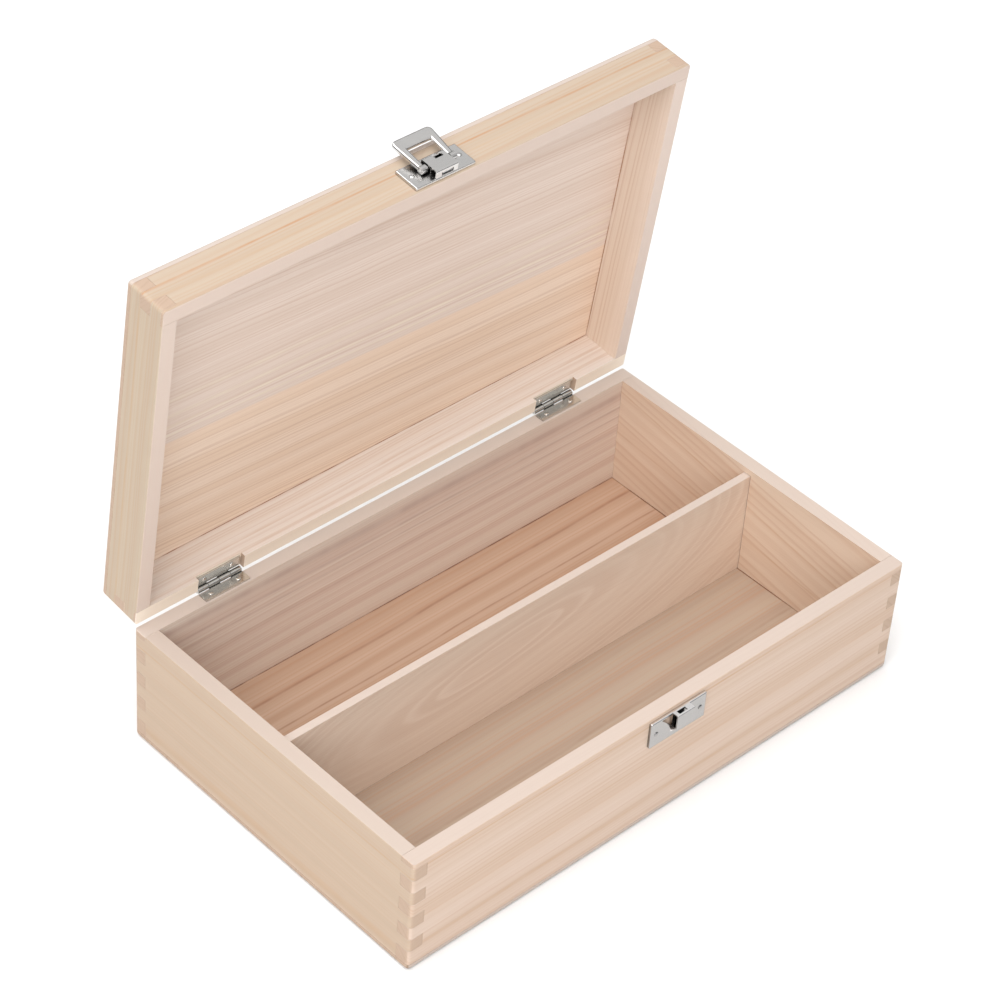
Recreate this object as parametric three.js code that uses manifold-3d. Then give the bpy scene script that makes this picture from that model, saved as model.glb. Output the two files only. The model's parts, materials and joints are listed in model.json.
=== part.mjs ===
// Wooden art supply box: a finger-jointed base with one long divider, a lid on two small
// butt hinges, and a spring catch whose loop swings over a strike on the front.
// Millimetres, +Z up. The front faces -Y. The origin is the centre of the underside.
import * as THREE from 'three';
import { RoundedBoxGeometry } from 'three/addons/geometries/RoundedBoxGeometry.js';
import { mergeVertices } from 'three/addons/utils/BufferGeometryUtils.js';
import Module from 'manifold-3d';

const wasm = await Module();
wasm.setup();

// ---- Driving dimensions ----
const BOX_WIDTH = 300;
const BOX_DEPTH = 185;
const BASE_HEIGHT = 64;
const LID_HEIGHT = 24;
const WALL = 7.6;
const PANEL = 3.2;
const EDGE_RADIUS = 2;
const RIM_RADIUS = 0.5;
const GLUE_GAP = 0.1;

const FINGER_PITCH = { base: 7.1, lid: 6.6 };
const CUT_FINGER = { base: 2.8, lid: 1.4 };
const SHORTEST_FINGER = 0.4;

const DIVIDER = { thickness: 4, drop: 3.4, housing: 2, play: 0.3 };

const LID_OPEN_ANGLE = THREE.MathUtils.degToRad(83.5);
const LID_GAP = 0.3;

const HINGE_CENTRES = { left: -102.1, right: 103 };
const HINGE = {
  length: 25,
  axisBehind: 0.7,
  axisAbove: 1.4,
  knuckleRadius: 1.35,
  boreRadius: 0.7,
  pinRadius: 0.6,
  sheet: 0.7,
  leafReach: 7.2,
  slotReach: 2.1,
  strapOverlap: 0.5,
  knuckles: 4,
  knuckleGap: 0.2,
  nailReach: 4.4,
  nailSpacing: 15.7,
};
const MORTISE = { playLeft: 0.3, playRight: 1, playAbove: 0.1 };

const NAIL = { shankRadius: 0.55, holeRadius: 0.68, headRadius: 1.25, headHeight: 0.55, length: 6.2 };
const NAIL_SIDES = 12;
const DOME_STEPS = 4;

const CATCH = {
  centreX: 3,
  width: 34,
  height: 14.2,
  standOff: 1.6,
  sheet: 0.6,
  edgeRadius: 0.6,
  nailSpacing: 27,
};
const CATCH_ABOVE_RIM = 0.9;
const STRIKE_BELOW_RIM = 2;

const CATCH_HOOD = { left: -5.7, right: 6.6, top: 5.3, start: 1.3, end: 11.6, corner: 0.9 };
const CATCH_WINDOW = { left: -2.5, right: 4.1, low: 1.9, high: 3.8 };
const CATCH_NOTCH = { left: -0.2, right: 4.3, start: 8.5 };
const STRIKE_HOOD = { left: -4.2, right: 6.2, top: 4.9, frontHeight: 7.6, frontLean: 0.2, foot: 10.4 };
const STRIKE_HOLE = { width: 6.6, belowTop: 0.9 };
const STRIKE_SLOT = { left: -2.3, right: 2.6, near: 1.9, far: 3.9 };

const LOOP = {
  aboveRim: 7.5,
  standOff: 3.6,
  restTilt: 6.5,
  innerHalfWidth: 6.85,
  nearHalfWidth: 9.7,
  farHalfWidth: 11.3,
  innerLength: 12.3,
  length: 18.7,
  corner: 2.2,
  thickness: 2.2,
  bevel: 0.75,
  eyeRadius: 1.9,
  boreRadius: 1.12,
  rodRadius: 1,
};
const CHEEK = { reach: 2.1, sheet: 0.6 };
const SPRING = { halfWidth: 2.2, sheet: 0.5, start: 2.05, end: 10.4, lift: 0.3, lip: 1.6 };

const ROUND = 16;
const CORNER_STEPS = 3;
const REACH_PAST = 1;

const HALF_WIDTH = BOX_WIDTH / 2;
const HALF_DEPTH = BOX_DEPTH / 2;
const LID_RIM = BASE_HEIGHT + LID_GAP;
const HINGE_AXIS = { y: HALF_DEPTH + HINGE.axisBehind, z: BASE_HEIGHT + HINGE.axisAbove };

// ---- Materials ----
function wood(color) {
  return new THREE.MeshStandardMaterial({ color, roughness: 0.75, metalness: 0 });
}

function metal(color) {
  return new THREE.MeshStandardMaterial({ color, roughness: 0.25, metalness: 1 });
}

const PALE_WOOD = 0xdfc9ae;
const FLOOR_WOOD = 0xbb9c80;
const PANEL_WOOD = 0xd9c0a9;
const NICKEL = 0xc9c7c2;

// ---- Solids: three.js geometry in, manifold booleans, three.js geometry out ----
function toSolid(geometry) {
  const bare = geometry.index ? geometry.toNonIndexed() : geometry.clone();
  bare.deleteAttribute('normal');
  bare.deleteAttribute('uv');
  const merged = mergeVertices(bare, 1e-4);
  return new wasm.Manifold(new wasm.Mesh({
    numProp: 3,
    vertProperties: merged.attributes.position.array,
    triVerts: new Uint32Array(merged.index.array),
  }));
}

function toGeometry(solid) {
  const mesh = solid.getMesh();
  const geometry = new THREE.BufferGeometry();
  geometry.setAttribute('position', new THREE.BufferAttribute(mesh.vertProperties, 3));
  geometry.setIndex(new THREE.BufferAttribute(mesh.triVerts, 1));
  geometry.computeVertexNormals();
  return geometry;
}

function joined(geometries) {
  return geometries.map(toSolid).reduce((sum, solid) => sum.add(solid));
}

function without(solid, geometries) {
  return geometries.map(toSolid).reduce((rest, tool) => rest.subtract(tool), solid);
}

// A box from its lowest corner to its highest.
function block(low, high) {
  const size = high.map((value, i) => value - low[i]);
  const centre = high.map((value, i) => (value + low[i]) / 2);
  return new THREE.BoxGeometry(...size).translate(...centre);
}

// A round bar along X.
function barX(radius, x0, x1, y, z, sides = ROUND) {
  const bar = new THREE.CylinderGeometry(radius, radius, x1 - x0, sides);
  bar.rotateZ(Math.PI / 2);
  return bar.translate((x0 + x1) / 2, y, z);
}

// A flat outline of [y, z] points, carried along X from x0 to x1.
function prismX(outline, x0, x1) {
  const solid = new THREE.ExtrudeGeometry(outline, { depth: x1 - x0, bevelEnabled: false });
  solid.rotateX(Math.PI / 2);
  solid.rotateZ(Math.PI / 2);
  return solid.translate(x0, 0, 0);
}

// A flat outline of [x, z] points, carried along Y from y0 to y1.
function prismY(points, y0, y1) {
  const outline = new THREE.Shape(points.map(([x, z]) => new THREE.Vector2(x, z)));
  const solid = new THREE.ExtrudeGeometry(outline, { depth: y1 - y0, bevelEnabled: false });
  return solid.rotateX(Math.PI / 2).translate(0, y1, 0);
}

// A polygon whose corners are rounded by the radius given as each point's third number.
function roundedOutline(points) {
  const outline = new THREE.Shape();
  const count = points.length;
  points.forEach(([x, y, radius = 0], i) => {
    const here = new THREE.Vector2(x, y);
    const before = new THREE.Vector2(...points[(i + count - 1) % count].slice(0, 2));
    const after = new THREE.Vector2(...points[(i + 1) % count].slice(0, 2));
    const start = before.sub(here).setLength(radius).add(here);
    const end = after.sub(here).setLength(radius).add(here);
    if (i === 0) {
      outline.moveTo(start.x, start.y);
    } else {
      outline.lineTo(start.x, start.y);
    }
    if (radius > 0) {
      outline.quadraticCurveTo(x, y, end.x, end.y);
    }
  });
  outline.closePath();
  return outline;
}

// ---- Carcase: four finger-jointed walls and a thin panel ----
// Distances from the rim at which the fingers of a corner change hands. A last finger under
// SHORTEST_FINGER of the pitch is merged with the one before.
function fingerEdges(cut, pitch, depth) {
  const edges = [0, cut];
  while (edges.at(-1) + (1 + SHORTEST_FINGER) * pitch < depth) {
    edges.push(edges.at(-1) + pitch);
  }
  edges.push(depth);
  return edges;
}

// One wall's outline: full length where the wall owns the finger, set back elsewhere.
function wallOutline(halfLength, edges, ownsFirst, toHeight) {
  const setBack = halfLength - WALL - GLUE_GAP;
  const side = [];
  edges.slice(0, -1).forEach((edge, i) => {
    const owned = (i % 2 === 0) === ownsFirst;
    const reach = owned ? halfLength : setBack;
    const inset = owned ? GLUE_GAP / 2 : -GLUE_GAP / 2;
    const next = edges[i + 1];
    const near = i === 0 ? 0 : edge + inset;
    const far = i === edges.length - 2 ? next : next - inset;
    side.push([reach, toHeight(near)], [reach, toHeight(far)]);
  });
  const mirrored = side.map(([x, z]) => [-x, z]).reverse();
  return new THREE.Shape([...side, ...mirrored].map(([x, z]) => new THREE.Vector2(x, z)));
}

// A long wall lies along X with its outer face on the front or the back.
function longWall(outline, sign) {
  const board = new THREE.ExtrudeGeometry(outline, { depth: WALL, bevelEnabled: false });
  board.rotateX(Math.PI / 2);
  return board.translate(0, sign > 0 ? HALF_DEPTH : WALL - HALF_DEPTH, 0);
}

// A short wall lies along Y with its outer face on the left or the right.
function shortWall(outline, sign) {
  const start = sign > 0 ? HALF_WIDTH - WALL : -HALF_WIDTH;
  return prismX(outline, start, start + WALL);
}

// A rounded box as wide and deep as the carcase, between two heights given in either order.
function roundedBody(z0, z1, radius) {
  const body = new RoundedBoxGeometry(BOX_WIDTH, BOX_DEPTH, Math.abs(z1 - z0), CORNER_STEPS, radius);
  return toSolid(body.translate(0, 0, (z0 + z1) / 2));
}

// The outer shape of a carcase: well rounded on the panel's side, barely eased at the rim.
function easedBody(rim, far, direction) {
  const roundedFar = roundedBody(rim - direction * EDGE_RADIUS, far, EDGE_RADIUS);
  const easedRim = roundedBody(rim, far + direction * RIM_RADIUS, RIM_RADIUS);
  return roundedFar.intersect(easedRim);
}

// Walls and panel of the base (rim upward) or of the closed lid (rim downward).
function carcase(rim, direction, height, cut, pitch) {
  const toHeight = (distance) => rim + direction * distance;
  const frameDepth = height - PANEL;
  const edges = fingerEdges(cut, pitch, frameDepth - GLUE_GAP);
  const far = toHeight(height);
  const body = easedBody(rim, far, direction);
  const eased = (geometry) => toSolid(geometry).intersect(body);
  const longOutline = wallOutline(HALF_WIDTH, edges, true, toHeight);
  const shortOutline = wallOutline(HALF_DEPTH, edges, false, toHeight);
  const panelEdge = toHeight(frameDepth);
  return {
    front: eased(longWall(longOutline, -1)),
    back: eased(longWall(longOutline, 1)),
    left: eased(shortWall(shortOutline, -1)),
    right: eased(shortWall(shortOutline, 1)),
    panel: eased(block(
      [-HALF_WIDTH, -HALF_DEPTH, Math.min(panelEdge, far)],
      [HALF_WIDTH, HALF_DEPTH, Math.max(panelEdge, far)],
    )),
  };
}

// The divider, or with play added, the space its ends fill in the side walls.
function dividerBlock(play) {
  const halfLength = HALF_WIDTH - WALL + DIVIDER.housing + play;
  const halfThickness = DIVIDER.thickness / 2 + play;
  return block(
    [-halfLength, -halfThickness, PANEL + GLUE_GAP - play],
    [halfLength, halfThickness, BASE_HEIGHT - DIVIDER.drop + play],
  );
}

// ---- Nails: a shank with a domed head, head end at the origin, pointing down -Z ----
function nailGeometry() {
  const head = [];
  for (let i = 0; i < DOME_STEPS; i += 1) {
    const angle = (i / DOME_STEPS) * (Math.PI / 2);
    head.push(new THREE.Vector2(NAIL.headRadius * Math.cos(angle), NAIL.headHeight * Math.sin(angle)));
  }
  head.push(new THREE.Vector2(0, NAIL.headHeight));
  const tip = NAIL.shankRadius * 2;
  const profile = [
    new THREE.Vector2(0, -NAIL.length),
    new THREE.Vector2(NAIL.shankRadius, tip - NAIL.length),
    new THREE.Vector2(NAIL.shankRadius, 0),
    ...head,
  ];
  return new THREE.LatheGeometry(profile, NAIL_SIDES);
}

function nailHole() {
  const length = NAIL.length + 2 * REACH_PAST;
  const hole = new THREE.CylinderGeometry(NAIL.holeRadius, NAIL.holeRadius, length, NAIL_SIDES);
  return hole.rotateX(Math.PI / 2).translate(0, 0, -NAIL.length / 2);
}

// Places a thing made along Z where a nail goes: into a rim (down or up) or into the front.
function towards(geometry, way, x, y, z) {
  const turned = { down: 0, up: Math.PI, back: Math.PI / 2 }[way];
  return geometry.rotateX(turned).translate(x, y, z);
}

// The lathe's axis is Y, so a nail is first stood along Z.
function nail(way, x, y, z) {
  return towards(nailGeometry().rotateX(Math.PI / 2), way, x, y, z);
}

// ---- Hinges ----
function nailXs(centre, spacing) {
  return { left: centre - spacing / 2, right: centre + spacing / 2 };
}

// One leaf, closed, about the hinge axis: side -1 is the base's leaf and +1 the lid's.
function hingeLeaf(centreX, side) {
  const start = centreX - HINGE.length / 2;
  const step = HINGE.length / HINGE.knuckles;
  const outer = side * HINGE.knuckleRadius;
  const inner = side * (HINGE.knuckleRadius - HINGE.sheet);
  const [low, high] = [Math.min(outer, inner), Math.max(outer, inner)];
  const plate = block([start, -HINGE.leafReach, low], [start + HINGE.length, -HINGE.slotReach, high]);
  const pieces = [plate];
  const bores = [];
  const first = side > 0 ? 0 : 1;
  for (let i = first; i < HINGE.knuckles; i += 2) {
    const x0 = start + i * step + HINGE.knuckleGap / 2;
    const x1 = start + (i + 1) * step - HINGE.knuckleGap / 2;
    pieces.push(block([x0, -HINGE.slotReach - HINGE.strapOverlap, low], [x1, 0, high]));
    pieces.push(barX(HINGE.knuckleRadius, x0, x1, 0, 0, 2 * ROUND));
    bores.push(barX(HINGE.boreRadius, x0 - REACH_PAST, x1 + REACH_PAST, 0, 0));
  }
  const holes = Object.values(nailXs(centreX, HINGE.nailSpacing)).map((x) => (
    towards(nailHole(), 'down', x, -HINGE.nailReach, NAIL.length / 2)));
  return without(joined(pieces), [...bores, ...holes])
    .translate([0, HINGE_AXIS.y, HINGE_AXIS.z]);
}

function hingePin(centreX) {
  return barX(
    HINGE.pinRadius,
    centreX - HINGE.length / 2,
    centreX + HINGE.length / 2,
    HINGE_AXIS.y,
    HINGE_AXIS.z,
  );
}

// The recess in the lid's rim that takes a whole closed hinge, open to both faces of the wall.
function hingeMortise(centreX) {
  return block(
    [centreX - HINGE.length / 2 - MORTISE.playLeft, HALF_DEPTH - WALL - REACH_PAST, LID_RIM - REACH_PAST],
    [
      centreX + HINGE.length / 2 + MORTISE.playRight,
      HALF_DEPTH + REACH_PAST,
      HINGE_AXIS.z + HINGE.knuckleRadius + MORTISE.playAbove,
    ],
  );
}

// Where the nails of one leaf sit, with the way they point.
function leafNails(side) {
  const surface = HINGE_AXIS.z + side * (HINGE.knuckleRadius - HINGE.sheet);
  const way = side > 0 ? 'up' : 'down';
  const y = HINGE_AXIS.y - HINGE.nailReach;
  return Object.entries(HINGE_CENTRES).flatMap(([hinge, centreX]) => (
    Object.entries(nailXs(centreX, HINGE.nailSpacing)).map(([end, x]) => (
      { name: `${hinge}_hinge_${side > 0 ? 'lid' : 'base'}_nail_${end}`, way, x, y, z: surface }))));
}

// ---- Catch and strike plates, about their own centre on the front face ----
// A shallow tray standing off the wood: eased outside, open behind.
function tray() {
  const { width, height, standOff, sheet } = CATCH;
  const outside = new RoundedBoxGeometry(width, 2 * standOff, height, CORNER_STEPS, CATCH.edgeRadius);
  const front = block([-width / 2, -standOff, -height / 2], [width / 2, 0, height / 2]);
  const hollow = block(
    [sheet - width / 2, sheet - standOff, sheet - height / 2],
    [width / 2 - sheet, REACH_PAST, height / 2 - sheet],
  );
  return without(toSolid(outside).intersect(toSolid(front)), [hollow]);
}

function trayNailHoles() {
  return Object.values(nailXs(0, CATCH.nailSpacing)).map((x) => (
    towards(nailHole(), 'back', x, -CATCH.standOff, 0)));
}

// The hood over the loop's rod: front wall, top and rear wall, open at both ends.
function catchHood() {
  const { left, right, top, start, end, corner } = CATCH_HOOD;
  const { sheet, standOff, height } = CATCH;
  const z = (distance) => distance - CATCH_ABOVE_RIM - height / 2;
  const root = sheet - standOff;
  const outline = roundedOutline([
    [root, z(start)],
    [-top, z(start), corner],
    [-top, z(end), corner],
    [root, z(end)],
    [root, z(end) - sheet],
    [sheet - top, z(end) - sheet, corner - sheet],
    [sheet - top, z(start) + sheet, corner - sheet],
    [root, z(start) + sheet],
  ]);
  return prismX(outline, left, right);
}

// Ears inside the hood's ends that carry the loop's rod.
function catchCheeks() {
  const { left, right, top } = CATCH_HOOD;
  const axis = LOOP.aboveRim - CATCH_ABOVE_RIM - CATCH.height / 2;
  return [left, right - CHEEK.sheet].map((x) => block(
    [x, -top + CATCH.sheet / 2, axis - CHEEK.reach],
    [x + CHEEK.sheet, CATCH.sheet - CATCH.standOff, axis + CHEEK.reach],
  ));
}

function catchPlate() {
  const { left, right, start, top, end } = CATCH_HOOD;
  const z = (distance) => distance - CATCH_ABOVE_RIM - CATCH.height / 2;
  const window = block(
    [CATCH_WINDOW.left, -CATCH_WINDOW.high, z(start) - REACH_PAST],
    [CATCH_WINDOW.right, -CATCH_WINDOW.low, z(start) + 2 * CATCH.sheet],
  );
  const notch = block(
    [CATCH_NOTCH.left, -top - REACH_PAST, z(CATCH_NOTCH.start)],
    [CATCH_NOTCH.right, -top + 2 * CATCH.sheet, z(end) + REACH_PAST],
  );
  const bore = barX(
    LOOP.boreRadius,
    left - REACH_PAST,
    right + REACH_PAST,
    -LOOP.standOff,
    z(LOOP.aboveRim),
  );
  const pieces = [catchHood(), ...catchCheeks()].map(toSolid);
  const body = pieces.reduce((sum, solid) => sum.add(solid), tray());
  return without(body, [window, notch, bore, ...trayNailHoles()]);
}

// A spring tongue lying under the rod, its end turned up behind the window.
function catchSpring() {
  const z = (distance) => distance - CATCH_ABOVE_RIM - CATCH.height / 2;
  const { halfWidth, sheet, start, end, lift, lip } = SPRING;
  const base = -CATCH.standOff - lift;
  const outline = new THREE.Shape([
    [base, z(end)],
    [base, z(start)],
    [base - lip, z(start)],
    [base - lip, z(start) + sheet],
    [base - sheet, z(start) + sheet],
    [base - sheet, z(end)],
  ].map(([y, height]) => new THREE.Vector2(y, height)));
  const middle = (CATCH_WINDOW.left + CATCH_WINDOW.right) / 2;
  return toSolid(prismX(outline, middle - halfWidth, middle + halfWidth));
}

// The strike: a hood with a slotted top and an open left end, beside it a three-cornered hole.
function strikePlate() {
  const { left, right, top, frontHeight, frontLean, foot } = STRIKE_HOOD;
  const { sheet, standOff, height } = CATCH;
  const root = sheet - standOff;
  const rim = height / 2;
  const outline = roundedOutline([
    [root, rim],
    [-top, rim, sheet],
    [frontLean - top, rim - frontHeight, sheet],
    [-standOff, rim - foot],
    [root, rim - foot],
    [frontLean + sheet - top, rim - frontHeight],
    [sheet - top, rim - sheet],
    [root, rim - sheet],
  ]);
  const slot = block(
    [STRIKE_SLOT.left, -STRIKE_SLOT.far, rim - 2 * sheet],
    [STRIKE_SLOT.right, -STRIKE_SLOT.near, rim + REACH_PAST],
  );
  const holeTop = rim - STRIKE_HOLE.belowTop;
  const hole = prismY([
    [left - STRIKE_HOLE.width, holeTop],
    [left, rim - frontHeight],
    [left, holeTop],
  ], -standOff - REACH_PAST, REACH_PAST);
  const body = tray().subtract(toSolid(hole)).add(toSolid(prismX(outline, left, right)));
  return without(body, [slot, ...trayNailHoles()]);
}

// ---- Catch loop: hangs from its axle at the origin, along -Z ----
function loopFrame() {
  const { innerHalfWidth, nearHalfWidth, farHalfWidth, innerLength, length, corner } = LOOP;
  const near = LOOP.eyeRadius - LOOP.bevel;
  const inset = LOOP.bevel;
  const outline = roundedOutline([
    [innerHalfWidth + inset, near],
    [nearHalfWidth - inset, near],
    [farHalfWidth - inset, inset - length, corner],
    [inset - farHalfWidth, inset - length, corner],
    [inset - nearHalfWidth, near],
    [-innerHalfWidth - inset, near],
    [-innerHalfWidth - inset, -innerLength - inset],
    [innerHalfWidth + inset, -innerLength - inset],
  ]);
  const frame = new THREE.ExtrudeGeometry(outline, {
    depth: LOOP.thickness - 2 * LOOP.bevel,
    bevelSize: LOOP.bevel,
    bevelThickness: LOOP.bevel,
    bevelSegments: 2,
    curveSegments: 4,
  });
  frame.translate(0, 0, LOOP.bevel - LOOP.thickness / 2);
  return frame.rotateX(Math.PI / 2);
}

function catchLoop() {
  const sides = [-1, 1].map((side) => [side * LOOP.innerHalfWidth, side * LOOP.nearHalfWidth]);
  const eyes = sides.map(([inner, outer]) => (
    barX(LOOP.eyeRadius, Math.min(inner, outer), Math.max(inner, outer), 0, 0)));
  const boreEnd = LOOP.nearHalfWidth + REACH_PAST;
  const bore = barX(LOOP.boreRadius, -boreEnd, boreEnd, 0, 0);
  return without(joined([loopFrame(), ...eyes]), [bore]);
}

function catchRod() {
  return barX(LOOP.rodRadius, -LOOP.nearHalfWidth, LOOP.nearHalfWidth, 0, 0);
}

// ---- Assembly ----
function mesh(name, solid, material) {
  const geometry = solid.isBufferGeometry ? solid : toGeometry(solid);
  const piece = new THREE.Mesh(geometry, material);
  piece.name = name;
  return piece;
}

function placedNails(nails, group) {
  for (const { name, way, x, y, z } of nails) {
    group.add(mesh(name, nail(way, x, y, z), metal(NICKEL)));
  }
}

function holesFor(nails) {
  return nails.map(({ way, x, y, z }) => towards(nailHole(), way, x, y, z));
}

// The two nails of a plate on the front, whose centre is at the given height.
function plateNails(prefix, centreZ) {
  return Object.entries(nailXs(CATCH.centreX, CATCH.nailSpacing)).map(([end, x]) => (
    { name: `${prefix}_nail_${end}`, way: 'back', x, y: -HALF_DEPTH - CATCH.standOff, z: centreZ }));
}

function buildBase(base) {
  const walls = carcase(BASE_HEIGHT, -1, BASE_HEIGHT, CUT_FINGER.base, FINGER_PITCH.base);
  const strikeZ = BASE_HEIGHT - STRIKE_BELOW_RIM - CATCH.height / 2;
  const hingeNails = leafNails(-1);
  const strikeNails = plateNails('strike', strikeZ);
  base.add(mesh('base_front_wall', without(walls.front, holesFor(strikeNails)), wood(PALE_WOOD)));
  base.add(mesh('base_back_wall', without(walls.back, holesFor(hingeNails)), wood(PALE_WOOD)));
  const housings = [dividerBlock(DIVIDER.play)];
  base.add(mesh('base_left_wall', without(walls.left, housings), wood(PALE_WOOD)));
  base.add(mesh('base_right_wall', without(walls.right, housings), wood(PALE_WOOD)));
  base.add(mesh('base_bottom_panel', walls.panel, wood(FLOOR_WOOD)));
  base.add(mesh('compartment_divider', dividerBlock(0), wood(PANEL_WOOD)));
  const strike = strikePlate().translate([CATCH.centreX, -HALF_DEPTH, strikeZ]);
  base.add(mesh('strike_plate', strike, metal(NICKEL)));
  placedNails([...hingeNails, ...strikeNails], base);
  for (const [side, x] of Object.entries(HINGE_CENTRES)) {
    base.add(mesh(`${side}_hinge_base_leaf`, hingeLeaf(x, -1), metal(NICKEL)));
    base.add(mesh(`${side}_hinge_pin`, hingePin(x), metal(NICKEL)));
  }
}

function buildLid(lid) {
  const walls = carcase(LID_RIM, 1, LID_HEIGHT, CUT_FINGER.lid, FINGER_PITCH.lid);
  const catchZ = LID_RIM + CATCH_ABOVE_RIM + CATCH.height / 2;
  const hingeNails = leafNails(1);
  const catchNails = plateNails('catch', catchZ);
  const mortises = Object.values(HINGE_CENTRES).map(hingeMortise);
  lid.add(mesh('lid_front_wall', without(walls.front, holesFor(catchNails)), wood(PALE_WOOD)));
  const back = without(walls.back, [...mortises, ...holesFor(hingeNails)]);
  lid.add(mesh('lid_back_wall', back, wood(PALE_WOOD)));
  lid.add(mesh('lid_left_wall', walls.left, wood(PALE_WOOD)));
  lid.add(mesh('lid_right_wall', walls.right, wood(PALE_WOOD)));
  lid.add(mesh('lid_panel', walls.panel, wood(PANEL_WOOD)));
  const plate = catchPlate().translate([CATCH.centreX, -HALF_DEPTH, catchZ]);
  const spring = catchSpring().translate([CATCH.centreX, -HALF_DEPTH, catchZ]);
  lid.add(mesh('catch_plate', plate, metal(NICKEL)));
  lid.add(mesh('catch_spring', spring, metal(NICKEL)));
  placedNails([...hingeNails, ...catchNails], lid);
  for (const [side, x] of Object.entries(HINGE_CENTRES)) {
    lid.add(mesh(`${side}_hinge_lid_leaf`, hingeLeaf(x, 1), metal(NICKEL)));
  }
}

function buildLoop(loop) {
  loop.add(mesh('catch_loop', catchLoop(), metal(NICKEL)));
  loop.add(mesh('catch_rod', catchRod(), metal(NICKEL)));
}

// The lid's group turns about the hinge axis, and the loop's group about its rod.
function buildBox() {
  const box = new THREE.Group();
  buildBase(box);

  const lidTurn = new THREE.Group();
  lidTurn.position.set(0, HINGE_AXIS.y, HINGE_AXIS.z);
  lidTurn.rotation.x = -LID_OPEN_ANGLE;
  const lid = new THREE.Group();
  lid.position.set(0, -HINGE_AXIS.y, -HINGE_AXIS.z);
  buildLid(lid);
  lidTurn.add(lid);
  box.add(lidTurn);

  const loop = new THREE.Group();
  loop.position.set(CATCH.centreX, -HALF_DEPTH - LOOP.standOff, LID_RIM + LOOP.aboveRim);
  loop.rotation.x = THREE.MathUtils.degToRad(LOOP.restTilt - 180);
  buildLoop(loop);
  lid.add(loop);
  return box;
}

export default buildBox();
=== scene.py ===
import json
import math

import bpy
from mathutils import Matrix, Vector

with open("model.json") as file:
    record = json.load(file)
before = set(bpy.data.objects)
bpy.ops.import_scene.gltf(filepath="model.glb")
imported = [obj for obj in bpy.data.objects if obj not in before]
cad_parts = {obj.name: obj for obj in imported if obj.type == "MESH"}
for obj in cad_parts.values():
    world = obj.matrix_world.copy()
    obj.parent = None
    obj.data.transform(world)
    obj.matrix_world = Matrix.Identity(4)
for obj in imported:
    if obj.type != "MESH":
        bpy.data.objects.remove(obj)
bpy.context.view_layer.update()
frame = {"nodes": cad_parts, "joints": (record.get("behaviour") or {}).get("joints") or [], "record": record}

MM = 0.001

# ---- Camera: the photograph's viewing angle ----
CAMERA_LENS = 121.3
CAMERA_SENSOR = 36.0
CAMERA_AIM = (-0.02244, 0.0, 0.13177)
CAMERA_DISTANCE = 1.4534
CAMERA_AZIMUTH = math.radians(-45.65)
CAMERA_ELEVATION = math.radians(40.07)
CAMERA_ROLL = math.radians(4.60)
CAMERA_REACH = 20.0


def set_camera():
    az, el = CAMERA_AZIMUTH, CAMERA_ELEVATION
    back = Vector((math.sin(az) * math.cos(el), -math.cos(az) * math.cos(el), math.sin(el)))
    right = (-back).cross(Vector((0, 0, 1))).normalized()
    up = right.cross(-back)
    rolled_right = right * math.cos(CAMERA_ROLL) + up * math.sin(CAMERA_ROLL)
    rolled_up = up * math.cos(CAMERA_ROLL) - right * math.sin(CAMERA_ROLL)
    data = bpy.data.cameras.new("camera")
    data.lens = CAMERA_LENS
    data.sensor_width = CAMERA_SENSOR
    data.clip_end = CAMERA_REACH
    camera = bpy.data.objects.new("camera", data)
    turn = Matrix((rolled_right, rolled_up, back)).transposed().to_4x4()
    camera.matrix_world = Matrix.Translation(Vector(CAMERA_AIM) + back * CAMERA_DISTANCE) @ turn
    bpy.context.scene.collection.objects.link(camera)
    bpy.context.scene.camera = camera


# ---- Node helpers ----
def add(tree, kind, inputs=None, **settings):
    node = tree.nodes.new(kind)
    for key, value in settings.items():
        setattr(node, key, value)
    for socket, value in (inputs or {}).items():
        if isinstance(value, bpy.types.NodeSocket):
            tree.links.new(value, node.inputs[socket])
        else:
            node.inputs[socket].default_value = value
    return node


def calc(tree, operation, a, b=0.0, c=0.0):
    return add(tree, "ShaderNodeMath", {0: a, 1: b, 2: c}, operation=operation).outputs[0]


def remap(tree, value, low, high, to_low=0.0, to_high=1.0, smooth=True):
    inputs = {0: value, 1: low, 2: high, 3: to_low, 4: to_high}
    kind = "SMOOTHSTEP" if smooth else "LINEAR"
    return add(tree, "ShaderNodeMapRange", inputs, interpolation_type=kind).outputs[0]


def noise(tree, vector, scale=1.0, detail=2.0, rough=0.5):
    inputs = {"Vector": vector, "Scale": scale, "Detail": detail, "Roughness": rough}
    return add(tree, "ShaderNodeTexNoise", inputs).outputs["Fac"]


def noise_1d(tree, value, scale=1.0, detail=2.0, rough=0.5):
    inputs = {"W": value, "Scale": scale, "Detail": detail, "Roughness": rough}
    return add(tree, "ShaderNodeTexNoise", inputs, noise_dimensions="1D").outputs["Fac"]


def mix(tree, factor, a, b):
    return add(tree, "ShaderNodeMix", {0: factor, 6: a, 7: b}, data_type="RGBA").outputs[2]


def shade(tree, factor, colour, by):
    return add(tree, "ShaderNodeMix", {0: factor, 6: colour, 7: by},
               data_type="RGBA", blend_type="MULTIPLY").outputs[2]


def combine(tree, x, y, z):
    return add(tree, "ShaderNodeCombineXYZ", {0: x, 1: y, 2: z}).outputs[0]


def srgb(red, green, blue):
    """A colour given as 0-255 display values, as linear numbers for a shader."""
    def linear(value):
        value /= 255
        return value / 12.92 if value <= 0.04045 else ((value + 0.055) / 1.055) ** 2.4
    return (linear(red), linear(green), linear(blue), 1.0)


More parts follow.
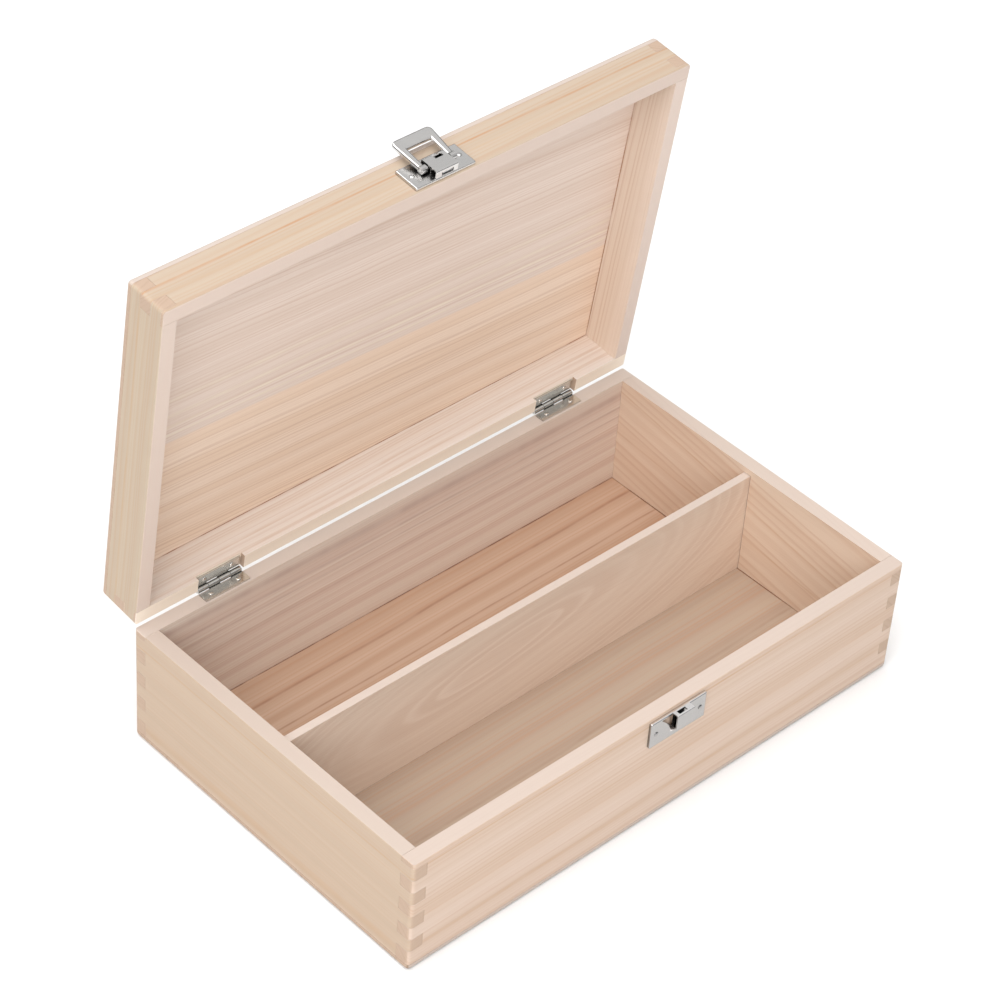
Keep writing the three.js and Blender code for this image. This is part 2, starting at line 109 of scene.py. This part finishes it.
# ---- Light and floor ----
WORLD_STRENGTH = 0.62
WORLD_STOPS = ((0.0, 0.35), (0.46, 0.35), (0.53, 0.12), (0.7, 0.6), (0.85, 1.1), (1.0, 1.1))
FLOOR_SIZE = 6.0
FLOOR_BELOW = 0.0002
FLOOR_WHITE = (0.93, 0.93, 0.93, 1.0)
FLOOR_ROUGHNESS = 0.9


def set_world():
    """A studio round the box: dark at the horizon, paler up to a white ceiling."""
    world = bpy.data.worlds.new("studio")
    world.use_nodes = True
    tree = world.node_tree
    direction = add(tree, "ShaderNodeTexCoord").outputs["Generated"]
    height = add(tree, "ShaderNodeSeparateXYZ", {0: direction}).outputs[2]
    level = remap(tree, height, -1.0, 1.0, smooth=False)
    shades = add(tree, "ShaderNodeValToRGB", {0: level})
    ramp = shades.color_ramp
    while len(ramp.elements) < len(WORLD_STOPS):
        ramp.elements.new(1.0)
    for element, (position, grey) in zip(ramp.elements, WORLD_STOPS):
        element.position = position
        element.color = (grey, grey, grey, 1.0)
    tree.links.new(shades.outputs[0], tree.nodes["Background"].inputs["Color"])
    tree.nodes["Background"].inputs["Strength"].default_value = WORLD_STRENGTH
    bpy.context.scene.world = world
    bpy.context.scene.view_settings.view_transform = "Standard"


def softbox(name, azimuth, elevation, distance, size, strength):
    """A square light. Strength 1 lights a white face turned to it to display white."""
    az, el = math.radians(azimuth), math.radians(elevation)
    position = Vector((math.sin(az) * math.cos(el), -math.cos(az) * math.cos(el), math.sin(el))) * distance
    data = bpy.data.lights.new(name, "AREA")
    data.shape = "SQUARE"
    data.size = size
    data.energy = strength * (math.pi * distance) ** 2
    light = bpy.data.objects.new(name, data)
    light.location = position
    light.rotation_euler = (-position).to_track_quat("-Z", "Y").to_euler()
    bpy.context.scene.collection.objects.link(light)


def make_floor():
    mesh = bpy.data.meshes.new("floor")
    half = FLOOR_SIZE / 2
    corners = [(-half, -half, 0), (half, -half, 0), (half, half, 0), (-half, half, 0)]
    mesh.from_pydata(corners, [], [(0, 1, 2, 3)])
    floor = bpy.data.objects.new("floor", mesh)
    floor.location.z = -FLOOR_BELOW
    bpy.context.scene.collection.objects.link(floor)
    material = bpy.data.materials.new("floor_paper")
    material.use_nodes = True
    shader = material.node_tree.nodes["Principled BSDF"]
    shader.inputs["Base Color"].default_value = FLOOR_WHITE
    shader.inputs["Roughness"].default_value = FLOOR_ROUGHNESS
    mesh.materials.append(material)


# ---- Wood ----
# Each board has its own axes in millimetres: u along the grain, v across, w through it.
LONG_WALL = Matrix(((1, 0, 0), (0, 0, 1), (0, -1, 0)))
SHORT_WALL = Matrix(((0, 1, 0), (0, 0, 1), (1, 0, 0)))
FLAT_PANEL = Matrix.Identity(3)

# How slowly a ring wanders along and across a board, per millimetre.
WOBBLE_ALONG = 0.007
WOBBLE_ACROSS = 0.03
# A growth line darkens from its start to its peak, then fades by the next line's start.
LINE_START = 0.2
LINE_PEAK = 0.82
LINE_UNEVEN = 2.4
UNEVEN_SCALE = 0.35
WEIGHT_SCALE = 0.11
# Ranges as (from low, from high, to low, to high), for remap.
BAND_RANGE = (0.3, 0.7, 0.22, 0.78)
LINE_WEIGHT = (0.35, 0.65, 0.25, 1.0)
STREAK_RANGE = (0.42, 0.72)
FLECK_RANGE = (0.58, 0.76)
FLECK_STRENGTH = 0.2
FACING_RANGE = (0.75, 0.95)
INNER_RANGE = (0.5, 0.9)
WOOD_ROUGHNESS = (0.3, 0.7, 0.55, 0.7)
WOOD_SPECULAR = 0.3
# Fibres and pores as (along, across, detail).
FIBRES = (0.012, 1.6, 4.0)
PORES = (0.2, 5.0, 2.0)
FIBRE_HEIGHT = 0.6
PORE_HEIGHT = 0.4
BUMP_STRENGTH = 0.12
BUMP_DISTANCE = 0.0001


def lid_closing():
    """The turn that closes the lid, as a rotation and the move that goes with it."""
    joint = next(j for j in frame["joints"] if j["name"] == "lid_hinge")
    axis_point = Vector(joint["pos_m"])
    turn = Matrix.Rotation(math.radians(joint["range_deg"][1]), 3, "X")
    return turn, axis_point - turn @ axis_point


def board_frame(axes, in_lid):
    turn, move = lid_closing() if in_lid else (Matrix.Identity(3), Vector())
    return axes @ turn, (axes @ move) / MM


def board_coordinates(tree, axes, in_lid):
    rotation, location = board_frame(axes, in_lid)
    coordinates = add(tree, "ShaderNodeTexCoord")
    angles = rotation.to_euler()
    place = add(tree, "ShaderNodeMapping", {
        "Vector": coordinates.outputs["Object"],
        "Location": location,
        "Rotation": angles,
        "Scale": (1 / MM, 1 / MM, 1 / MM),
    })
    facing = add(tree, "ShaderNodeMapping", {
        "Vector": coordinates.outputs["Normal"],
        "Rotation": angles,
    }, vector_type="NORMAL")
    return place.outputs[0], facing.outputs[0]


def ring_radius(tree, place, spec):
    """Distance from the tree's heart, which gives every face of a board its own figure."""
    u, v, w = add(tree, "ShaderNodeSeparateXYZ", {0: place}).outputs
    slow = combine(tree, calc(tree, "MULTIPLY", u, WOBBLE_ALONG),
                   calc(tree, "MULTIPLY_ADD", v, WOBBLE_ACROSS, spec["seed"]),
                   calc(tree, "MULTIPLY", w, WOBBLE_ACROSS))
    wobble = calc(tree, "MULTIPLY_ADD", noise(tree, slow, detail=3.0), spec["wobble"],
                  -spec["wobble"] / 2)
    heart_u, heart_v, heart_w = spec["heart"]
    across = calc(tree, "ADD", calc(tree, "SUBTRACT", v, heart_v),
                  calc(tree, "MULTIPLY_ADD", u, -spec["slope"], wobble))
    from_heart = calc(tree, "SUBTRACT", u, heart_u)
    bulge = calc(tree, "MULTIPLY", calc(tree, "POWER", from_heart, 2.0), spec["bulge"])
    through = calc(tree, "ADD", calc(tree, "SUBTRACT", w, heart_w), bulge)
    squares = calc(tree, "ADD", calc(tree, "POWER", across, 2.0),
                   calc(tree, "POWER", through, 2.0))
    return calc(tree, "SQRT", squares)


def growth_lines(tree, radius, spec):
    """0 to 1: thin dark lines at uneven distances, each softer on its inner side."""
    uneven = noise_1d(tree, radius, scale=UNEVEN_SCALE / spec["ring"], detail=1.0)
    phase = calc(tree, "MULTIPLY_ADD", radius, 1 / spec["ring"], calc(tree, "MULTIPLY", uneven, LINE_UNEVEN))
    part = calc(tree, "FRACT", phase)
    rise = remap(tree, part, LINE_START, LINE_PEAK)
    fall = remap(tree, part, LINE_PEAK, 1.0, 1.0, 0.0)
    line = calc(tree, "MULTIPLY", calc(tree, "POWER", rise, 2.0), fall)
    weight = remap(tree, noise_1d(tree, radius, scale=WEIGHT_SCALE, detail=2.0), *LINE_WEIGHT)
    return calc(tree, "MULTIPLY", line, weight)


def fibre_pattern(tree, place, along, across, detail):
    stretched = add(tree, "ShaderNodeMapping", {"Vector": place, "Scale": (along, across, across)})
    return noise(tree, stretched.outputs[0], detail=detail, rough=0.62)


def wood(name, spec):
    material = bpy.data.materials.new(name)
    material.use_nodes = True
    tree = material.node_tree
    shader = tree.nodes["Principled BSDF"]
    place, facing = board_coordinates(tree, spec["axes"], spec["in_lid"])
    radius = ring_radius(tree, place, spec)
    broad = noise_1d(tree, radius, scale=1 / spec["band"], detail=2.0, rough=0.5)
    bands = remap(tree, broad, *BAND_RANGE)
    colour = mix(tree, bands, spec["light"], spec["dark"])
    if "zone" in spec:
        colour = zone_colour(tree, place, bands, colour, spec["zone"])
    lines = calc(tree, "MULTIPLY", growth_lines(tree, radius, spec), spec["line_strength"])
    colour = mix(tree, lines, colour, spec["line"])
    # Lines along the board: grain lines, and along the bottom edge of the base's front and left walls a band
    # of painted shade.
    for mark in spec["marks"]:
        colour = mix(tree, grain_and_shade_line(tree, place, mark), colour, mark["colour"])
    fibres = fibre_pattern(tree, place, *FIBRES)
    streaks = calc(tree, "MULTIPLY", remap(tree, fibres, *STREAK_RANGE), spec["streak_strength"])
    colour = mix(tree, streaks, colour, spec["streak"])
    pores = fibre_pattern(tree, place, *PORES)
    flecks = calc(tree, "MULTIPLY", remap(tree, pores, *FLECK_RANGE), FLECK_STRENGTH)
    colour = mix(tree, flecks, colour, spec["streak"])
    along_grain, to_rim, to_face = add(tree, "ShaderNodeSeparateXYZ", {0: facing}).outputs
    if "seam" in spec:
        inside = remap(tree, calc(tree, "MULTIPLY", to_face, spec["inner_side"]), *INNER_RANGE)
        seam = calc(tree, "MULTIPLY", seam_shade(tree, place, spec["seam"]), inside)
        colour = mix(tree, seam, colour, spec["seam"]["colour"])
        # The panels' tones are set for their inner faces, in the shade of the box, and carry painted light;
        # the outer face is multiplied back down to the wood's own tone.
        colour = shade(tree, calc(tree, "SUBTRACT", 1.0, inside), colour, PAINTED_LIGHT_OFF_OUTSIDE)
    # Faces along the rim take their own tone; on the lid this tone is painted light, lifting rims that face
    # down into shade.
    rims = remap(tree, calc(tree, "ABSOLUTE", to_rim), *FACING_RANGE, 0.0, spec["rim_strength"])
    colour = mix(tree, rims, colour, spec["rim"])
    ends = remap(tree, calc(tree, "ABSOLUTE", along_grain), *FACING_RANGE)
    end_colour = mix(tree, lines, spec["end"], spec["end_line"])
    colour = mix(tree, ends, colour, end_colour)
    tree.links.new(colour, shader.inputs["Base Color"])
    rough = remap(tree, fibres, *WOOD_ROUGHNESS)
    tree.links.new(rough, shader.inputs["Roughness"])
    shader.inputs["Specular IOR Level"].default_value = WOOD_SPECULAR
    height = calc(tree, "ADD", calc(tree, "MULTIPLY", fibres, FIBRE_HEIGHT),
                  calc(tree, "MULTIPLY", pores, PORE_HEIGHT))
    bump_inputs = {"Strength": BUMP_STRENGTH, "Distance": BUMP_DISTANCE, "Height": height}
    bump = add(tree, "ShaderNodeBump", bump_inputs)
    tree.links.new(bump.outputs[0], shader.inputs["Normal"])
    return material


MARK_WANDER_SCALE = 0.012
MARK_PATCH_SCALE = 0.05
MARK_PATCHES = (0.3, 0.7, 0.5, 1.0)
SEAM_PATCH_SCALE = 0.06
SEAM_PATCHES = (0.35, 0.6, 0.35, 1.0)


def grain_and_shade_line(tree, place, mark):
    """One soft line along the grain, at a height across the board, wandering a little; it draws grain lines,
    and a band of painted shade along a bottom edge.
    """
    u, v, _ = add(tree, "ShaderNodeSeparateXYZ", {0: place}).outputs
    wander = noise_1d(tree, calc(tree, "MULTIPLY", u, MARK_WANDER_SCALE), scale=1.0, detail=2.0)
    middle = calc(tree, "MULTIPLY_ADD", wander, 2 * mark["wander"], mark["at"] - mark["wander"])
    middle = calc(tree, "MULTIPLY_ADD", u, mark["slope"], middle)
    away = calc(tree, "ABSOLUTE", calc(tree, "SUBTRACT", v, middle))
    along = calc(tree, "MULTIPLY", u, MARK_PATCH_SCALE)
    patchy = remap(tree, noise_1d(tree, along, detail=2.0), *MARK_PATCHES)
    line = remap(tree, away, 0.0, mark["width"], mark["strength"], 0.0)
    return calc(tree, "MULTIPLY", line, patchy)


def seam_shade(tree, place, seam):
    """Glue and shadow along the edge where a panel meets the walls round it."""
    u, v, _ = add(tree, "ShaderNodeSeparateXYZ", {0: place}).outputs
    past_u = calc(tree, "SUBTRACT", calc(tree, "ABSOLUTE", u), seam["half_u"])
    past_v = calc(tree, "SUBTRACT", calc(tree, "ABSOLUTE", v), seam["half_v"])
    nearest = calc(tree, "MAXIMUM", past_u, past_v)
    patchy = remap(tree, noise(tree, place, scale=SEAM_PATCH_SCALE, detail=2.0), *SEAM_PATCHES)
    near = remap(tree, nearest, -seam["width"], 0.0)
    return calc(tree, "MULTIPLY", near, patchy)


def zone_colour(tree, place, bands, colour, zone):
    """The other colour of a board cut across heartwood and sapwood, past a slanted line."""
    u, v, _ = add(tree, "ShaderNodeSeparateXYZ", {0: place}).outputs
    line = calc(tree, "SUBTRACT", v, calc(tree, "MULTIPLY_ADD", u, zone["slope"], zone["at"]))
    other = mix(tree, bands, zone["light"], zone["dark"])
    past = remap(tree, line, -zone["blur"], zone["blur"])
    return mix(tree, past, colour, other)


BASE_SPEC = {
    "axes": LONG_WALL,
    "in_lid": False,
    "seed": 0.0,
    "wobble": 5.0,
    "heart": (0.0, -140.0, -80.0),
    "slope": 0.012,
    "bulge": 0.0,
    "ring": 1.9,
    "band": 9.0,
    "light": srgb(229, 208, 190),
    "dark": srgb(215, 186, 162),
    "line": srgb(186, 142, 112),
    "line_strength": 0.3,
    "streak": srgb(196, 160, 134),
    "streak_strength": 0.16,
    "end": srgb(190, 165, 145),
    "end_line": srgb(166, 138, 118),
    "rim": srgb(203, 188, 178),
    "rim_strength": 0.8,
    "marks": (),
}


def mark(at, width, strength, colour, slope=0.0, wander=0.6):
    return {
        "at": at,
        "width": width,
        "strength": strength,
        "colour": colour,
        "slope": slope,
        "wander": wander,
    }


# Seam colours: glue, and painted shadow in the corner where a panel meets the walls round it.
PANEL_SEAM = {"half_u": 142.4, "half_v": 84.9, "width": 0.9, "colour": srgb(168, 112, 74)}
FLOOR_SEAM = {"half_u": 142.4, "half_v": 84.9, "width": 0.9, "colour": srgb(120, 74, 52)}
TAN_LINE = srgb(190, 146, 106)
DARK_LINE = srgb(140, 90, 62)
ORANGE_LINE = srgb(186, 124, 70)
# Painted shade along the rounded bottom edge of the base's front and left walls.
BOTTOM_EDGE_PAINTED_SHADE = srgb(176, 142, 128)
CREAM = srgb(246, 236, 216)
# Multiplier that takes the painted light back off a panel's outer face.
PAINTED_LIGHT_OFF_OUTSIDE = (0.74, 0.74, 0.73, 1.0)
# Painted light: the lid's rims, which face down into shade, are painted lighter.
LID_RIM_PAINTED_LIGHT = srgb(226, 208, 197)
MAUVE = srgb(166, 132, 124)

# The tones differ from board to board partly as painted light: each board is scaled to the brightness its
# seen face takes under these lights, so boards whose inner faces stand in the shade of the box are painted
# lighter than boards seen from outside.
BOARDS = {
    "base_front_wall": {
        "seed": 1.0, "light": srgb(216, 196, 181), "dark": srgb(202, 177, 156),
        "marks": (mark(60.5, 0.9, 0.5, TAN_LINE), mark(31.0, 1.2, 0.3, TAN_LINE, 0.01, 1.5),
                  mark(14.0, 1.6, 0.3, TAN_LINE, 0.008, 1.5), mark(1.6, 1.8, 0.75, BOTTOM_EDGE_PAINTED_SHADE)),
    },
    "base_back_wall": {
        "seed": 2.0, "slope": 0.01, "light": srgb(230, 219, 206), "dark": srgb(210, 186, 173),
        "marks": (mark(57.0, 3.4, 0.42, MAUVE, -0.012), mark(49.0, 1.4, 0.36, MAUVE, -0.01),
                  mark(43.0, 1.0, 0.3, MAUVE, -0.008), mark(34.0, 2.2, 0.2, MAUVE, -0.006)),
    },
    "base_left_wall": {
        "axes": SHORT_WALL, "seed": 3.0, "light": srgb(198, 177, 156), "dark": srgb(189, 168, 147),
        "line_strength": 0.14, "streak_strength": 0.12, "ring": 2.6,
        "marks": (mark(55.5, 0.8, 0.42, TAN_LINE), mark(50.5, 0.6, 0.16, TAN_LINE),
                  mark(8.0, 3.5, 0.3, TAN_LINE), mark(1.6, 1.8, 0.75, BOTTOM_EDGE_PAINTED_SHADE)),
    },
    "base_right_wall": {
        "axes": SHORT_WALL, "seed": 4.0, "slope": 0.16, "light": srgb(228, 209, 190),
        "dark": srgb(216, 190, 168), "ring": 3.2,
        "marks": (mark(43.0, 1.0, 0.5, TAN_LINE, 0.17, 1.2), mark(24.0, 1.0, 0.4, TAN_LINE, 0.1, 1.2)),
    },
    "base_bottom_panel": {
        "axes": FLAT_PANEL, "seed": 5.0, "inner_side": 1.0, "heart": (0.0, -260.0, -60.0),
        "light": srgb(187, 169, 151), "dark": srgb(173, 150, 132), "ring": 2.2,
        "line_strength": 0.4, "seam": FLOOR_SEAM,
        "zone": {"at": 4.0, "slope": 0.0, "blur": 3.0,
                 "light": srgb(208, 181, 160), "dark": srgb(187, 153, 128)},
        "marks": (mark(70.0, 1.2, 0.5, DARK_LINE, 0.012, 1.5), mark(52.0, 0.8, 0.5, DARK_LINE, 0.012, 1.5),
                  mark(31.0, 0.8, 0.6, DARK_LINE, 0.01, 1.5), mark(18.0, 1.4, 0.3, DARK_LINE, 0.01, 1.5),
                  mark(-40.0, 1.5, 0.25, DARK_LINE, 0.01, 1.5)),
    },
    "compartment_divider": {
        "seed": 6.0, "heart": (-16.0, 41.0, -9.0), "bulge": 0.0013, "wobble": 1.5, "slope": 0.12,
        "light": srgb(234, 217, 200), "dark": srgb(219, 196, 178), "ring": 3.6,
        "line_strength": 0.3, "line": srgb(250, 238, 224),
    },
    "lid_front_wall": {
        "in_lid": True, "rim": LID_RIM_PAINTED_LIGHT, "seed": 7.0,
        "light": srgb(197, 180, 161), "dark": srgb(189, 169, 148),
        "marks": (mark(78.5, 0.9, 0.55, ORANGE_LINE), mark(73.0, 1.2, 0.25, TAN_LINE)),
    },
    "lid_back_wall": {
        # Its rim is painted lightest of all, as painted light on a face turned down into shade.
        "in_lid": True, "rim": srgb(250, 236, 219), "rim_strength": 1.0, "seed": 8.0,
        "light": srgb(231, 222, 215), "dark": srgb(222, 205, 191),
        "marks": (mark(74.0, 1.0, 0.35, TAN_LINE, 0.01, 1.0), mark(68.0, 1.0, 0.3, TAN_LINE, 0.01, 1.0)),
    },
    "lid_left_wall": {
        "axes": SHORT_WALL, "in_lid": True, "rim": LID_RIM_PAINTED_LIGHT, "seed": 9.0, "light": srgb(194, 179, 158),
        "dark": srgb(187, 168, 147), "marks": (mark(79.0, 1.0, 0.4, TAN_LINE),),
    },
    "lid_right_wall": {
        "axes": SHORT_WALL, "in_lid": True, "rim": LID_RIM_PAINTED_LIGHT, "seed": 10.0, "light": srgb(232, 216, 202),
        "dark": srgb(224, 206, 189),
    },
    "lid_panel": {
        "axes": FLAT_PANEL, "in_lid": True, "inner_side": -1.0, "seed": 11.0,
        "heart": (0.0, -300.0, 40.0), "slope": 0.051,
        "light": srgb(240, 225, 214), "dark": srgb(227, 208, 194), "band": 10.0, "ring": 2.2,
        "seam": PANEL_SEAM,
        "zone": {"at": 19.0, "slope": 0.051, "blur": 0.8,
                 "light": srgb(248, 228, 210), "dark": srgb(236, 210, 186)},
        "marks": (mark(14.5, 1.2, 0.6, CREAM, 0.051, 0.3), mark(9.5, 1.6, 0.55, CREAM, 0.051, 0.3),
                  mark(3.0, 1.8, 0.45, CREAM, 0.051, 0.3), mark(-6.0, 2.2, 0.4, CREAM, 0.051, 0.3)),
    },
}


def finish_boards():
    for name, changes in BOARDS.items():
        material = wood(name + "_grain", {**BASE_SPEC, **changes})
        frame["nodes"][name].data.materials.clear()
        frame["nodes"][name].data.materials.append(material)


# ---- Nickel plate ----
# The tones differ from part to part because they are tuned to the photographed pose, as painted light: the
# strike and its nails are painted darker for the shade they stand in, the spring lighter to lift it out of
# its recess.
PLATE_TONE = (0.74, 0.725, 0.71, 1.0)
STRIKE_SHADED_TONE = (0.41, 0.405, 0.4, 1.0)
STRIKE_NAIL_SHADED_TONE = (0.36, 0.355, 0.35, 1.0)
HINGE_TONE = (0.74, 0.72, 0.68, 1.0)
SPRING_LIT_TONE = (0.92, 0.91, 0.9, 1.0)
# How far, in millimetres, a wall paints shade on the metal near it: painted shade in slots and crevices.
CREVICE = 3.0
CREVICE_SAMPLES = 8
UNSHADED_RANGE = (0.3, 0.75)
UPWARD_RANGE = (0.5, 0.9)
SMUDGE_SCALE = 220.0
SMUDGE_RANGE = (0.3, 0.7)
# Roughness as (least, most).
PLATED = (0.2, 0.26)
DOMED = (0.1, 0.14)
SPRUNG = (0.4, 0.5)
ROLLED_EDGE = 0.12
EDGE_SEGMENTS = 3
SHARP_ANGLE = math.radians(38)
CREVICE_PAINTED_SHADE = (0.06, 0.055, 0.05, 1.0)
# Painted highlight on the strike's upward faces.
STRIKE_TOP_PAINTED_HIGHLIGHT = (0.97, 0.95, 0.94, 1.0)
# Painted light in the strike's open end.
HOOD_PAINTED_LIGHT = (0.95, 0.9, 0.87, 1.0)
# Painted shade, near black, down the strike's slot.
SLOT_PAINTED_SHADE = (0.012, 0.011, 0.01, 1.0)
# Where the strike's open end and its slot are, along x, y and z: the zones of its painted light and painted
# shade.
HOOD_END = ((-1.3, 0.9), (-96.9, -93.0), (51.0, 61.5))
SLOT_DEPTH = ((0.9, 6.0), (-96.6, -93.9), (52.0, 61.9))
# Half the width over which such a zone fades in, in millimetres.
ZONE_EDGE = 0.05


def within(tree, place, box):
    """1 inside a box given as (low, high) along each axis in millimetres, 0 outside it."""
    level = 1.0
    for value, (low, high) in zip(add(tree, "ShaderNodeSeparateXYZ", {0: place}).outputs, box):
        level = calc(tree, "MULTIPLY", level, remap(tree, value, low - ZONE_EDGE, low + ZONE_EDGE))
        level = calc(tree, "MULTIPLY", level,
                     remap(tree, value, high - ZONE_EDGE, high + ZONE_EDGE, 1.0, 0.0))
    return level


def strike_painted_light(tree, colour, unshaded):
    """Painted light on the strike: a painted highlight where it faces up, grey painted light in its open
    end, black painted shade down its slot.
    """
    place, facing = board_coordinates(tree, FLAT_PANEL, False)
    upward = remap(tree, add(tree, "ShaderNodeSeparateXYZ", {0: facing}).outputs[2], *UPWARD_RANGE)
    outside = mix(tree, unshaded, CREVICE_PAINTED_SHADE, mix(tree, upward, colour, STRIKE_TOP_PAINTED_HIGHLIGHT))
    ended = mix(tree, within(tree, place, HOOD_END), outside, HOOD_PAINTED_LIGHT)
    return mix(tree, within(tree, place, SLOT_DEPTH), ended, SLOT_PAINTED_SHADE)


def nickel(name, colour, roughness, tones=None):
    material = bpy.data.materials.new(name)
    material.use_nodes = True
    tree = material.node_tree
    shader = tree.nodes["Principled BSDF"]
    shader.inputs["Metallic"].default_value = 1.0
    # Painted shade: the metal is darkened towards near black where walls close round it.
    occlusion = add(tree, "ShaderNodeAmbientOcclusion", {"Distance": CREVICE * MM},
                    samples=CREVICE_SAMPLES)
    unshaded = remap(tree, occlusion.outputs["AO"], *UNSHADED_RANGE)
    tone = tones(tree, colour, unshaded) if tones else mix(tree, unshaded, CREVICE_PAINTED_SHADE, colour)
    tree.links.new(tone, shader.inputs["Base Color"])
    coordinates = add(tree, "ShaderNodeTexCoord")
    smudge = noise(tree, coordinates.outputs["Object"], scale=SMUDGE_SCALE, detail=2.0)
    rough = remap(tree, smudge, *SMUDGE_RANGE, *roughness)
    tree.links.new(rough, shader.inputs["Roughness"])
    return material


def soften_edges(piece, width):
    """Rolls the sharp edges of a stamped part so that they catch the light."""
    bevel = piece.modifiers.new("rolled_edges", "BEVEL")
    bevel.width = width * MM
    bevel.segments = EDGE_SEGMENTS
    bevel.limit_method = "ANGLE"
    bevel.angle_limit = SHARP_ANGLE
    bevel.harden_normals = True


def finish_metal():
    plate = nickel("nickel_plate", PLATE_TONE, PLATED)
    strike = nickel("strike_nickel_painted_light", STRIKE_SHADED_TONE, PLATED, strike_painted_light)
    strike_nail = nickel("strike_nail_nickel_painted_shade", STRIKE_NAIL_SHADED_TONE, DOMED)
    hinge = nickel("hinge_nickel", HINGE_TONE, PLATED)
    spring = nickel("spring_nickel_painted_light", SPRING_LIT_TONE, SPRUNG)
    special = {"strike_nail": strike_nail, "hinge": hinge, "spring": spring, "strike": strike}
    for subpart in frame["record"]["subparts"]:
        if subpart["material_slot"] != "nickel":
            continue
        name = subpart["node"]
        kind = next((word for word in special if word in name), None)
        material = special.get(kind, plate)
        piece = frame["nodes"][name]
        piece.data.materials.clear()
        piece.data.materials.append(material)
        soften_edges(piece, ROLLED_EDGE)


set_camera()
set_world()
softbox("key", azimuth=-50.0, elevation=44.0, distance=2.5, size=2.8, strength=0.98)
softbox("top", azimuth=-160.0, elevation=74.0, distance=2.5, size=2.0, strength=0.42)
make_floor()
finish_boards()
finish_metal()
